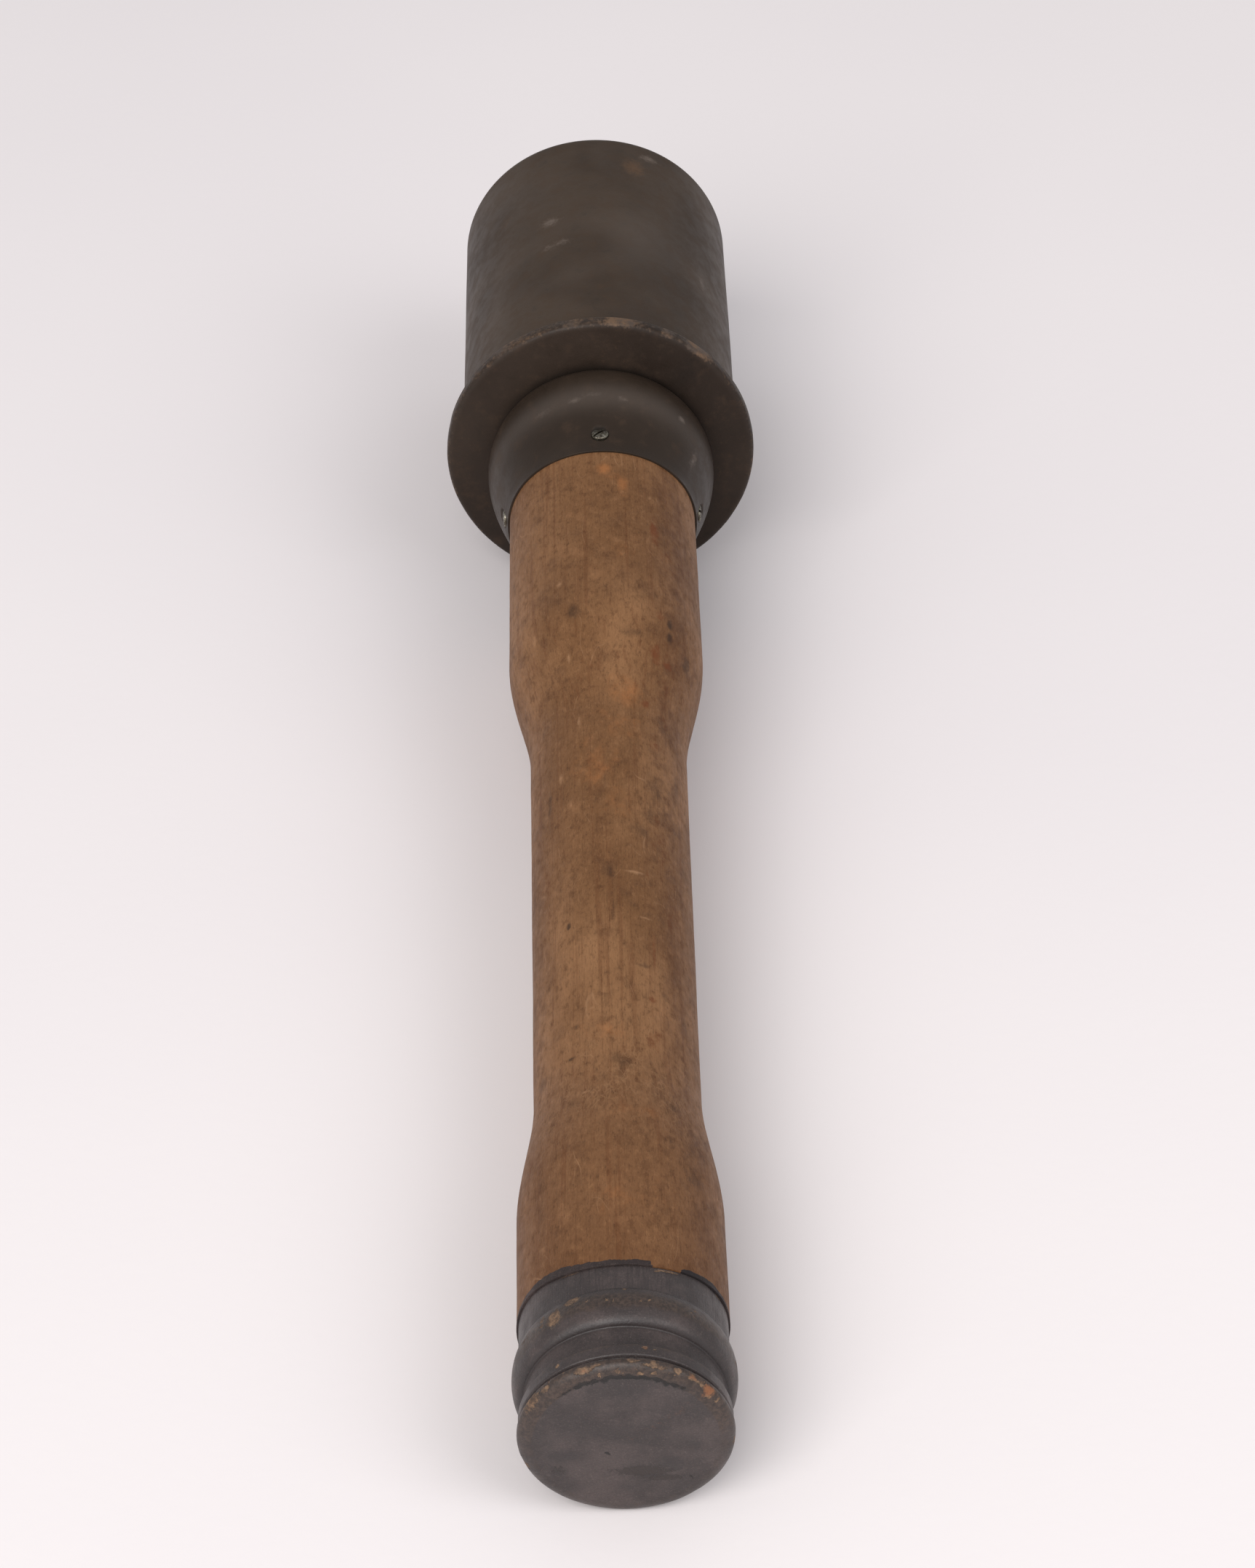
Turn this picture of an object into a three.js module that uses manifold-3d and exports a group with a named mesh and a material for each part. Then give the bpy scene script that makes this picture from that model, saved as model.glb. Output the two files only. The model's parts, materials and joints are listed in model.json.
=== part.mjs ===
// Inert display replica of a stick hand grenade, exterior form only.
// Every piece is solid: the head, the handle and the foot cap hold nothing and have no bore.
// Millimetres, +Z up. The piece lies on a flat surface on its flange and on the bead of its foot cap,
// with the foot towards -Y and the head towards +Y.

import * as THREE from 'three';
import { mergeVertices } from 'three/addons/utils/BufferGeometryUtils.js';
import Module from 'manifold-3d';

const wasm = await Module();
wasm.setup();

// Fits. Neighbouring pieces keep this gap, which a paint film or a glue line would fill.
const GAP = 0.3;
const SEGMENTS = 48;

// Stations along the long axis, measured from the foot's end face.
const TOTAL_LENGTH = 380;
const FOOT_JOINT = 23.1;
const FOOT_SWELL_END = 51;
const WAIST_START = 81;
const WAIST_END = 179.5;
const BARREL_START = 213.5;
const COLLAR_MOUTH = 262.6;
const COLLAR_WIDEST = 283;
const FLANGE_FRONT = 290.6;
const FLANGE_THICKNESS = 3;

// Outside radii.
const FACE_RADIUS = 15.2;
const RIM_RADIUS = 17.8;
const RING_RADIUS = 17.6;
const COVE_RADIUS = 16.4;
const BEAD_RADIUS = 18.65;
const BAND_RADIUS = 17.5;
const FOOT_SWELL_RADIUS = 17.8;
const WAIST_RADIUS = 14.8;
const WAIST_TAPER = 0.35;
const BARREL_RADIUS = 19.4;
const COLLAR_MOUTH_RADIUS = 19.85;
const COLLAR_RADIUS = 24;
const COLLAR_FOOT_RADIUS = 20.2;
const FLANGE_RADIUS = 32.9;
const HEAD_RADIUS = 29.4;
const HEAD_TOP_RADIUS = 18;

// Joinery, all of it solid wood filling its socket.
const COLLAR_WALL_INSIDE = 19;
const HEAD_TENON_RADIUS = 12;
const HEAD_TENON_DEPTH = 24;
const FOOT_TENON_RADIUS = 10;
const FOOT_TENON_LENGTH = 12;

// Small turned details.
const RIM_CENTRE = 1.6;
const RIM_BACK = 2.4;
const RIM_GROOVE_RADIUS = 16.9;
const RING_START = 2.9;
const RING_END = 5.4;
const COVE_CENTRE = 8.5;
const BEAD_CENTRE = 13.9;
const BEAD_HALF_WIDTH = 3.9;
const FLARE_HASTE = 0.85;
const FLANGE_FRONT_ROUND = 1.9;
const FLANGE_BACK_ROUND = 0.5;
const HEAD_BOTTOM_BEVEL = 0.4;
const HEAD_TOP_DEPTH = 5.7;

// Four countersunk screws hold the collar to the handle.
const SCREW_COUNT = 4;
const SCREW_STATION = 267.4;
const SCREW_HEAD_RADIUS = 1.8;
const SCREW_HEAD_TOP = 20.9;
const SCREW_DOME = 0.3;
const SCREW_SHANK_RADIUS = 1;
const SCREW_SHANK_LENGTH = 8;
const SCREW_SLOT_WIDTH = 0.6;
const SCREW_SLOT_DEPTH = 0.6;
const SCREW_SLOT_TURN = 0.7;

// ---- outlines, as points of (radius, station) ----

const point = (radius, station) => new THREE.Vector2(radius, station);

// Quarter of an ellipse from (r0, s0) to (r1, s1). It leaves along the axis, or across it when steepFirst is false.
function roundedCorner(r0, s0, r1, s1, steps, leavesAlongAxis) {
  const points = [];
  for (let i = 0; i <= steps; i += 1) {
    const angle = (Math.PI / 2) * (i / steps);
    const alongFirst = Math.sin(angle);
    const acrossLate = 1 - Math.cos(angle);
    const radiusShare = leavesAlongAxis ? acrossLate : alongFirst;
    const stationShare = leavesAlongAxis ? alongFirst : acrossLate;
    points.push(point(r0 + (r1 - r0) * radiusShare, s0 + (s1 - s0) * stationShare));
  }
  return points;
}

// Smooth flowing change of radius between two stations.
function flowingCurve(r0, s0, r1, s1, steps) {
  const points = [];
  for (let i = 0; i <= steps; i += 1) {
    const share = i / steps;
    const eased = share * share * (3 - 2 * share);
    points.push(point(r0 + (r1 - r0) * eased, s0 + (s1 - s0) * share));
  }
  return points;
}

// Half-round bead standing on a surface that runs from r0 to r1.
function bead(r0, r1, crest, centre, halfWidth, steps) {
  const points = [];
  for (let i = 0; i <= steps; i += 1) {
    const angle = Math.PI * (i / steps);
    const base = r0 + (r1 - r0) * (i / steps);
    points.push(point(base + (crest - base) * Math.sin(angle), centre - halfWidth * Math.cos(angle)));
  }
  return points;
}

// ---- solids ----

// Turned solid whose outline starts and ends on the axis, or closes on itself. A flat facet faces down.
function turned(outline) {
  return new THREE.LatheGeometry(outline, SEGMENTS, Math.PI / SEGMENTS);
}

function ring(outline) {
  return turned([...outline, outline[0]]);
}

function toSolid(geometry) {
  const bare = geometry.clone();
  bare.deleteAttribute('normal');
  bare.deleteAttribute('uv');
  const merged = mergeVertices(bare, 1e-4);
  const index = merged.index.array;
  const triangles = [];
  for (let i = 0; i < index.length; i += 3) {
    const [a, b, c] = [index[i], index[i + 1], index[i + 2]];
    if (a !== b && b !== c && c !== a) triangles.push(a, b, c);
  }
  return new wasm.Manifold(new wasm.Mesh({
    numProp: 3,
    vertProperties: new Float32Array(merged.attributes.position.array),
    triVerts: new Uint32Array(triangles),
  }));
}

function toGeometry(solid) {
  const mesh = solid.getMesh();
  const geometry = new THREE.BufferGeometry();
  geometry.setAttribute('position', new THREE.BufferAttribute(mesh.vertProperties, 3));
  geometry.setIndex(new THREE.BufferAttribute(mesh.triVerts, 1));
  geometry.computeVertexNormals();
  return geometry;
}

function cutFrom(geometry, cutters) {
  const body = cutters.reduce((solid, cutter) => solid.subtract(toSolid(cutter)), toSolid(geometry));
  return toGeometry(body);
}

// ---- pieces ----

function footCap() {
  const socketEnd = FOOT_JOINT - FOOT_TENON_LENGTH - GAP;
  const socketRadius = FOOT_TENON_RADIUS + GAP;
  return turned([
    point(0, 0),
    ...roundedCorner(FACE_RADIUS, 0, RIM_RADIUS, RIM_CENTRE, 4, false),
    point(RIM_RADIUS, RIM_BACK - 0.4),
    point(RIM_GROOVE_RADIUS, RIM_BACK),
    point(RIM_GROOVE_RADIUS, RING_START),
    point(RING_RADIUS, RING_START + 0.3),
    point(RING_RADIUS, RING_END),
    point(COVE_RADIUS + 0.3, RING_END + 0.5),
    point(COVE_RADIUS, COVE_CENTRE),
    ...bead(COVE_RADIUS + 0.3, BAND_RADIUS, BEAD_RADIUS, BEAD_CENTRE, BEAD_HALF_WIDTH, 10),
    point(BAND_RADIUS, FOOT_JOINT),
    point(socketRadius, FOOT_JOINT),
    point(socketRadius, socketEnd),
    point(0, socketEnd),
  ]);
}

function handle() {
  const waistEndRadius = WAIST_RADIUS + WAIST_TAPER;
  const insideRadius = COLLAR_WALL_INSIDE - GAP;
  const outline = [
    point(0, FOOT_JOINT - FOOT_TENON_LENGTH),
    point(FOOT_TENON_RADIUS, FOOT_JOINT - FOOT_TENON_LENGTH),
    point(FOOT_TENON_RADIUS, FOOT_JOINT + GAP),
    point(FOOT_SWELL_RADIUS, FOOT_JOINT + GAP),
    ...flowingCurve(FOOT_SWELL_RADIUS, FOOT_SWELL_END, WAIST_RADIUS, WAIST_START, 8),
    ...flowingCurve(waistEndRadius, WAIST_END, BARREL_RADIUS, BARREL_START, 8),
    point(BARREL_RADIUS, COLLAR_MOUTH - GAP),
    point(insideRadius, COLLAR_MOUTH - GAP),
    point(insideRadius, FLANGE_FRONT - GAP),
    point(HEAD_TENON_RADIUS, FLANGE_FRONT - GAP),
    point(HEAD_TENON_RADIUS, FLANGE_FRONT + HEAD_TENON_DEPTH),
    point(0, FLANGE_FRONT + HEAD_TENON_DEPTH),
  ];
  return cutFrom(turned(outline), screwCutters(SCREW_SHANK_RADIUS + GAP));
}

function neckCollar() {
  const outline = [
    point(COLLAR_WALL_INSIDE, COLLAR_MOUTH),
    point(COLLAR_MOUTH_RADIUS, COLLAR_MOUTH),
    ...collarFlare(8),
    ...roundedCorner(COLLAR_RADIUS, COLLAR_WIDEST, COLLAR_FOOT_RADIUS, FLANGE_FRONT - GAP, 6, true),
    point(COLLAR_WALL_INSIDE, FLANGE_FRONT - GAP),
  ];
  return cutFrom(ring(outline), screwCutters(SCREW_HEAD_RADIUS + GAP));
}

// The collar flares from its mouth to its widest part, a little faster at first than an even flowing curve.
function collarFlare(steps) {
  const points = [];
  for (let i = 1; i < steps; i += 1) {
    const share = i / steps;
    const early = share ** FLARE_HASTE;
    const eased = early * early * (3 - 2 * early);
    const radius = COLLAR_MOUTH_RADIUS + (COLLAR_RADIUS - COLLAR_MOUTH_RADIUS) * eased;
    points.push(point(radius, COLLAR_MOUTH + (COLLAR_WIDEST - COLLAR_MOUTH) * share));
  }
  return points;
}

function baseFlange() {
  const back = FLANGE_FRONT + FLANGE_THICKNESS;
  const bore = HEAD_TENON_RADIUS + GAP;
  return ring([
    point(bore, FLANGE_FRONT),
    ...roundedCorner(
      FLANGE_RADIUS - FLANGE_FRONT_ROUND, FLANGE_FRONT,
      FLANGE_RADIUS, FLANGE_FRONT + FLANGE_FRONT_ROUND, 4, false,
    ),
    point(FLANGE_RADIUS, back - FLANGE_BACK_ROUND),
    point(FLANGE_RADIUS - FLANGE_BACK_ROUND, back),
    point(bore, back),
  ]);
}

function headBlock() {
  const base = FLANGE_FRONT + FLANGE_THICKNESS + GAP;
  const socketRadius = HEAD_TENON_RADIUS + GAP;
  const socketEnd = FLANGE_FRONT + HEAD_TENON_DEPTH + GAP;
  return turned([
    point(0, socketEnd),
    point(socketRadius, socketEnd),
    point(socketRadius, base),
    point(HEAD_RADIUS - HEAD_BOTTOM_BEVEL, base),
    point(HEAD_RADIUS, base + HEAD_BOTTOM_BEVEL),
    ...roundedCorner(HEAD_RADIUS, TOTAL_LENGTH - HEAD_TOP_DEPTH, HEAD_TOP_RADIUS, TOTAL_LENGTH, 8, true),
    point(0, TOTAL_LENGTH),
  ]);
}

// ---- screws, standing radially round the collar ----

const SCREW_SEAT = COLLAR_WALL_INSIDE + 0.1;

function radialTurn(number) {
  return (2 * Math.PI * number) / SCREW_COUNT;
}

// Places geometry drawn along +Y from the long axis so that it points radially, starting with straight up.
function placeRadially(geometry, number) {
  geometry.rotateX(Math.PI / 2);
  geometry.rotateY(radialTurn(number));
  geometry.translate(0, SCREW_STATION, 0);
  return geometry;
}

function screwCutters(radius) {
  const cutters = [];
  for (let number = 0; number < SCREW_COUNT; number += 1) {
    const inner = SCREW_SEAT - SCREW_SHANK_LENGTH - GAP;
    const outer = COLLAR_RADIUS + 1;
    const cutter = new THREE.CylinderGeometry(radius, radius, outer - inner, 16);
    cutter.translate(0, (inner + outer) / 2, 0);
    cutters.push(placeRadially(cutter, number));
  }
  return cutters;
}

function collarScrew(number) {
  const outline = [
    point(0, SCREW_SEAT - SCREW_SHANK_LENGTH),
    point(SCREW_SHANK_RADIUS, SCREW_SEAT - SCREW_SHANK_LENGTH + 1),
    point(SCREW_SHANK_RADIUS, SCREW_SEAT),
    point(SCREW_HEAD_RADIUS, SCREW_SEAT),
    point(SCREW_HEAD_RADIUS, SCREW_HEAD_TOP - SCREW_DOME),
    point(SCREW_HEAD_RADIUS * 0.6, SCREW_HEAD_TOP - SCREW_DOME * 0.3),
    point(0, SCREW_HEAD_TOP),
  ];
  const body = new THREE.LatheGeometry(outline, 16);
  const slot = new THREE.BoxGeometry(SCREW_HEAD_RADIUS * 3, SCREW_SLOT_DEPTH * 2, SCREW_SLOT_WIDTH);
  slot.rotateY(SCREW_SLOT_TURN);
  slot.translate(0, SCREW_HEAD_TOP, 0);
  return placeRadially(cutFrom(body, [slot]), number);
}

// ---- finishes ----

const olivePaint = { color: 0x45403a, roughness: 0.55, metalness: 0 };
const ironPaint = { color: 0x3d352e, roughness: 0.5, metalness: 0.2 };
const beech = { color: 0x7e5b41, roughness: 0.6, metalness: 0 };
const greyPaint = { color: 0x554c4a, roughness: 0.5, metalness: 0 };
const screwMetal = { color: 0x8a8272, roughness: 0.4, metalness: 0.9 };

const lyingPiece = new THREE.Group();

function addPiece(name, geometry, finish) {
  const mesh = new THREE.Mesh(geometry, new THREE.MeshStandardMaterial(finish));
  mesh.name = name;
  lyingPiece.add(mesh);
}

addPiece('head_block', headBlock(), olivePaint);
addPiece('base_flange', baseFlange(), ironPaint);
addPiece('neck_collar', neckCollar(), ironPaint);
addPiece('handle', handle(), beech);
addPiece('foot_cap', footCap(), greyPaint);
for (let number = 0; number < SCREW_COUNT; number += 1) {
  addPiece(`collar_screw_${number + 1}`, collarScrew(number), screwMetal);
}

// The foot is thinner than the flange, so the long axis rises a little towards the head.
const facetFlat = Math.cos(Math.PI / SEGMENTS);
const restSpan = FLANGE_FRONT + FLANGE_FRONT_ROUND - BEAD_CENTRE;
lyingPiece.rotation.x = Math.asin(((FLANGE_RADIUS - BEAD_RADIUS) * facetFlat) / restSpan);

// The origin is under the middle of the piece, on the surface that it lies on.
lyingPiece.updateMatrixWorld(true);
const box = new THREE.Box3().setFromObject(lyingPiece, true);
const middle = box.getCenter(new THREE.Vector3());
lyingPiece.position.set(-middle.x, -middle.y, -box.min.z);

const model = new THREE.Group();
model.add(lyingPiece);

export default model;
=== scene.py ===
"""Looks of the inert stick grenade display replica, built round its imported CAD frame.

Each turned piece is drawn in the replica's own axis frame: y runs along its long axis from the foot's
end face, z is up and x is to the right, seen from the foot. Sizes are metres.
"""
import json
import math

import bmesh
import bpy
from mathutils import Matrix, Vector, noise


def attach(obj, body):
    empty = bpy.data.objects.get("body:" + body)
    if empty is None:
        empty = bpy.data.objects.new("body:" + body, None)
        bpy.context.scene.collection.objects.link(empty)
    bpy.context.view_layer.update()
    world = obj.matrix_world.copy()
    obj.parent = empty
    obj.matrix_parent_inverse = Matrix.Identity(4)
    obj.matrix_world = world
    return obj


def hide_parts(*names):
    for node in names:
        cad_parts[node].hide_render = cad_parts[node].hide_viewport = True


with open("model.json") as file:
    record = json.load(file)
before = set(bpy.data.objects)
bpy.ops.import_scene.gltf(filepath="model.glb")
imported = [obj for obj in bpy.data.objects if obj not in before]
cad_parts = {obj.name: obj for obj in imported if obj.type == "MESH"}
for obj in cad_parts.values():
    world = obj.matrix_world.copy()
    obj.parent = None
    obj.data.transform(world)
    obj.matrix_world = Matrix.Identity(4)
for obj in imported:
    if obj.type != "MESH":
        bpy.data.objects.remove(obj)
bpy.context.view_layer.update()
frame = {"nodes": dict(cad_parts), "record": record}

MM = 0.001
MAIN_BODY = "main_body"
FOOT_BODY = "foot"

FOOT_SEGMENTS = 384
HANDLE_SEGMENTS = 288
COLLAR_SEGMENTS = 448
HEAD_SEGMENTS = 320
SCREW_SEGMENTS = 48


# ---- where things are, read from the frame ----

def mount(name):
    return next(m for m in frame["record"]["mounts"] if m["name"] == name)


LONG_AXIS = -Vector(mount("foot_face")["axis"]).normalized()
FOOT_FACE = Vector(mount("foot_face")["pos_m"])
ACROSS = Vector((1, 0, 0))
UPWARD = ACROSS.cross(LONG_AXIS)
AXIS_FRAME = Matrix.Translation(FOOT_FACE) @ Matrix((ACROSS, LONG_AXIS, UPWARD)).transposed().to_4x4()


def span(node):
    """First station, last station and largest radius of a CAD node, in the axis frame."""
    inverse = AXIS_FRAME.inverted()
    local = [inverse @ v.co for v in frame["nodes"][node].data.vertices]
    stations = [p.y for p in local]
    return min(stations), max(stations), max(math.hypot(p.x, p.z) for p in local)


FOOT_START, FOOT_END, BEAD_RADIUS = span("foot_cap")
COLLAR_START, COLLAR_END, COLLAR_RADIUS = span("neck_collar")
FLANGE_START, FLANGE_END, FLANGE_RADIUS = span("base_flange")
HEAD_START, HEAD_END, HEAD_RADIUS = span("head_block")
BARREL_RADIUS = span("handle")[2]


# ---- outlines: lists of (radius, station) ----

def line(start, end, step=0.4 * MM):
    count = max(1, round(math.dist(start, end) / step))
    return [tuple(a + (b - a) * i / count for a, b in zip(start, end)) for i in range(count + 1)]


def rounded(corners, step=0.4 * MM):
    """Outline through corners (radius, station, fillet radius), each corner softened by its fillet."""
    path = [corners[0][:2]]
    for before, corner, after in zip(corners, corners[1:], corners[2:]):
        here = Vector(corner[:2])
        back = Vector(before[:2]) - here
        ahead = Vector(after[:2]) - here
        reach = min(corner[2], back.length * 0.45, ahead.length * 0.45)
        enter = here + back.normalized() * reach
        leave = here + ahead.normalized() * reach
        path += line(path[-1], enter, step)[1:]
        for i in range(1, 7):
            t = i / 6
            path.append(tuple(enter * (1 - t) ** 2 + here * 2 * t * (1 - t) + leave * t * t))
    return path + line(path[-1], corners[-1][:2], step)[1:]


def flow(r0, s0, r1, s1, steps=40):
    """Smooth flowing change of radius between two stations."""
    points = []
    for i in range(steps + 1):
        t = i / steps
        points.append((r0 + (r1 - r0) * t * t * (3 - 2 * t), s0 + (s1 - s0) * t))
    return points


def joined(*parts):
    """Outlines end to end, without points that repeat."""
    path = []
    for part in parts:
        for p in part:
            if not path or math.dist(path[-1], p) > 0.01 * MM:
                path.append(tuple(p))
    return path


# ---- marks: places on a surface, as (degrees from the top, station, half width, half length, strength) ----

def in_mm(*rows):
    """Marks whose three lengths are given in millimetres, with those lengths in metres."""
    return [(degrees, at * MM, half_width * MM, half_length * MM, strength)
            for degrees, at, half_width, half_length, strength in rows]


def marked(marks, angle, station, radius):
    """How strongly the marks cover a place, from 0 to 1."""
    total = 0.0
    for degrees, at, half_width, half_length, strength in marks:
        turn = (angle - math.radians(degrees) + math.pi) % (2 * math.pi) - math.pi
        across = turn * radius / half_width
        along = (station - at) / half_length
        distance = across * across + along * along
        if distance < 6:
            total = max(total, strength * math.exp(-distance))
    return total


def mottle(x, y, z, size, seed=0.0):
    """Perlin noise from -1 to 1 with features of about that size."""
    return noise.noise(Vector((x / size + seed, y / size, z / size - seed)))


# ---- turned meshes ----

def turned(name, outline, segments, relief=None, layers=()):
    """Mesh of revolution about y.

    relief(angle, station, radius) gives a radial offset, a lengthways offset and the values of the layers,
    which are kept on the vertices.
    """
    mesh = bpy.data.meshes.new(name)
    bm = bmesh.new()
    stores = [bm.verts.layers.float.new(layer) for layer in layers]
    rows = []
    for radius, station in outline:
        on_axis = radius < 1e-7
        row = []
        for k in range(1 if on_axis else segments):
            angle = 2 * math.pi * k / segments
            outwards, lengthways, values = relief(angle, station, radius) if relief else (0.0, 0.0, ())
            r = radius if on_axis else radius + outwards
            vertex = bm.verts.new((r * math.sin(angle), station + lengthways, r * math.cos(angle)))
            for store, value in zip(stores, values):
                vertex[store] = value
            row.append(vertex)
        rows.append(row)
    for lower, upper in zip(rows, rows[1:]):
        for k in range(segments):
            corners = [lower[k % len(lower)], lower[(k + 1) % len(lower)],
                       upper[(k + 1) % len(upper)], upper[k % len(upper)]]
            corners = list(dict.fromkeys(corners))
            if len(corners) > 2:
                bm.faces.new(corners)
    bmesh.ops.recalc_face_normals(bm, faces=bm.faces)
    bm.to_mesh(mesh)
    bm.free()
    for polygon in mesh.polygons:
        polygon.use_smooth = True
    piece = bpy.data.objects.new(name, mesh)
    bpy.context.scene.collection.objects.link(piece)
    piece.matrix_world = AXIS_FRAME
    return piece


def finish_piece(piece, body, node, material):
    piece.data.materials.clear()
    piece.data.materials.append(material)
    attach(piece, body)
    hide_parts(node)


# ---- shader graphs ----

def linear(red, green, blue):
    """Linear colour from 0 to 255 display values."""
    def channel(value):
        v = value / 255
        return v / 12.92 if v <= 0.04045 else ((v + 0.055) / 1.055) ** 2.4
    return (channel(red), channel(green), channel(blue), 1.0)


WOOD_DEEP = (110, 76, 48)
WOOD_PALE = (138, 100, 68)
GREY_DEEP = (50, 43, 42)
GREY_PALE = (68, 58, 56)


class Graph:
    """Short forms for building one material."""

    def __init__(self, name, **settings):
        self.material = bpy.data.materials.new(name)
        self.material.use_nodes = True
        self.tree = self.material.node_tree
        self.shader = self.tree.nodes["Principled BSDF"]
        self.coordinates = self.tree.nodes.new("ShaderNodeTexCoord").outputs["Object"]
        for socket, value in settings.items():
            self.shader.inputs[socket.replace("_", " ")].default_value = value

    def plug(self, socket, value):
        if isinstance(value, bpy.types.NodeSocket):
            self.tree.links.new(value, socket)
        else:
            socket.default_value = value

    def place(self, stretch=(1, 1, 1), turn=(0, 0, 0), shift=(0, 0, 0)):
        """The piece's own coordinates, stretched, turned and shifted."""
        mapping = self.tree.nodes.new("ShaderNodeMapping")
        self.plug(mapping.inputs["Vector"], self.coordinates)
        mapping.inputs["Scale"].default_value = stretch
        mapping.inputs["Rotation"].default_value = turn
        mapping.inputs["Location"].default_value = shift
        return mapping.outputs["Vector"]

    def noise(self, size, detail=4.0, roughness=0.55, **where):
        texture = self.tree.nodes.new("ShaderNodeTexNoise")
        self.plug(texture.inputs["Vector"], self.place(**where))
        texture.inputs["Scale"].default_value = 1 / size
        texture.inputs["Detail"].default_value = detail
        texture.inputs["Roughness"].default_value = roughness
        return texture.outputs["Fac"]

    def layer(self, name):
        attribute = self.tree.nodes.new("ShaderNodeAttribute")
        attribute.attribute_name = name
        return attribute.outputs["Fac"]

    def sum(self, a, b, operation="ADD"):
        node = self.tree.nodes.new("ShaderNodeMath")
        node.operation = operation
        self.plug(node.inputs[0], a)
        self.plug(node.inputs[1], b)
        return node.outputs[0]

    def times(self, a, b):
        return self.sum(a, b, "MULTIPLY")

    def step(self, value, low, high, to_low=0.0, to_high=1.0):
        """Smooth step of a value from low to high."""
        node = self.tree.nodes.new("ShaderNodeMapRange")
        node.interpolation_type = "SMOOTHSTEP"
        self.plug(node.inputs["Value"], value)
        node.inputs["From Min"].default_value = low
        node.inputs["From Max"].default_value = high
        node.inputs["To Min"].default_value = to_low
        node.inputs["To Max"].default_value = to_high
        return node.outputs["Result"]

    def mix(self, share, a, b):
        node = self.tree.nodes.new("ShaderNodeMix")
        node.data_type = "RGBA"
        colours = [s for s in node.inputs if s.type == "RGBA"]
        self.plug(node.inputs[0], share)
        self.plug(colours[0], a)
        self.plug(colours[1], b)
        return next(s for s in node.outputs if s.type == "RGBA")

    def bump(self, height, distance, strength):
        node = self.tree.nodes.new("ShaderNodeBump")
        node.inputs["Distance"].default_value = distance
        node.inputs["Strength"].default_value = strength
        self.plug(node.inputs["Height"], height)
        return node.outputs["Normal"]

    def done(self, colour, roughness, normal):
        self.plug(self.shader.inputs["Base Color"], colour)
        self.plug(self.shader.inputs["Roughness"], roughness)
        self.plug(self.shader.inputs["Normal"], normal)
        return self.material


def wood_colour(g):
    """Hand-darkened beech: mottling at several sizes, growth lines, fibres and hairline scratches."""
    broad = g.noise(30 * MM, 3, stretch=(1, 0.5, 1))
    colour = g.mix(g.step(broad, 0.38, 0.62), linear(*WOOD_DEEP), linear(*WOOD_PALE))
    colour = g.mix(g.layer("tone"), colour, linear(88, 56, 34))
    mottles = g.noise(5 * MM, 6, 0.66, stretch=(1, 0.7, 1), shift=(3, 5, 1))
    colour = g.mix(g.step(mottles, 0.5, 0.72, 0, 0.55), colour, linear(78, 50, 31))
    colour = g.mix(g.step(mottles, 0.3, 0.46, 0.25, 0), colour, linear(152, 110, 76))
    speckle = g.noise(1.5 * MM, 5, 0.68, stretch=(1, 0.6, 1), shift=(6, 2, 2))
    colour = g.mix(g.step(speckle, 0.51, 0.7, 0, 0.55), colour, linear(76, 48, 29))
    colour = g.mix(g.step(speckle, 0.3, 0.46, 0.25, 0), colour, linear(156, 114, 78))
    growth = g.noise(1.1 * MM, 4, 0.6, stretch=(1, 0.02, 1), shift=(5, 5, 5))
    colour = g.mix(g.step(growth, 0.53, 0.66, 0, 0.4), colour, linear(92, 55, 31))
    grain = g.noise(0.4 * MM, 5, 0.65, stretch=(1, 0.06, 1))
    colour = g.mix(g.step(grain, 0.5, 0.7, 0, 0.35), colour, linear(80, 52, 32))
    flecks = g.noise(0.24 * MM, 4, 0.6, stretch=(1, 0.22, 1), shift=(7, 1, 3))
    colour = g.mix(g.step(flecks, 0.54, 0.7, 0, 0.45), colour, linear(64, 42, 27))
    colour = g.mix(g.step(flecks, 0.3, 0.44, 0.16, 0), colour, linear(160, 118, 82))
    here_and_there = g.step(g.noise(9 * MM, 3, shift=(1, 9, 4)), 0.54, 0.66)
    colour = g.mix(hairlines(g, 7 * MM, 0.006, here_and_there), colour, linear(164, 126, 94))
    threads = hairlines(g, 1.3 * MM, 0.04, g.times(g.layer("scrub"), g.step(mottles, 0.4, 0.6, 0.1, 0.7)))
    return g.mix(threads, colour, linear(170, 130, 94)), speckle, grain, flecks


def hairlines(g, size, width, kept):
    """Thin curved scratches in two directions, where kept lets them show."""
    lines = None
    for turn in (0.5, -0.7):
        field = g.noise(size, 1, 0.4, stretch=(1, 0.35, 1), turn=(0, 0, turn))
        ridge = g.step(g.sum(g.sum(field, 0.5, "SUBTRACT"), 0, "ABSOLUTE"), 0.0, width, 0.34, 0)
        lines = ridge if lines is None else g.sum(lines, ridge, "MAXIMUM")
    return g.times(lines, kept)


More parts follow.
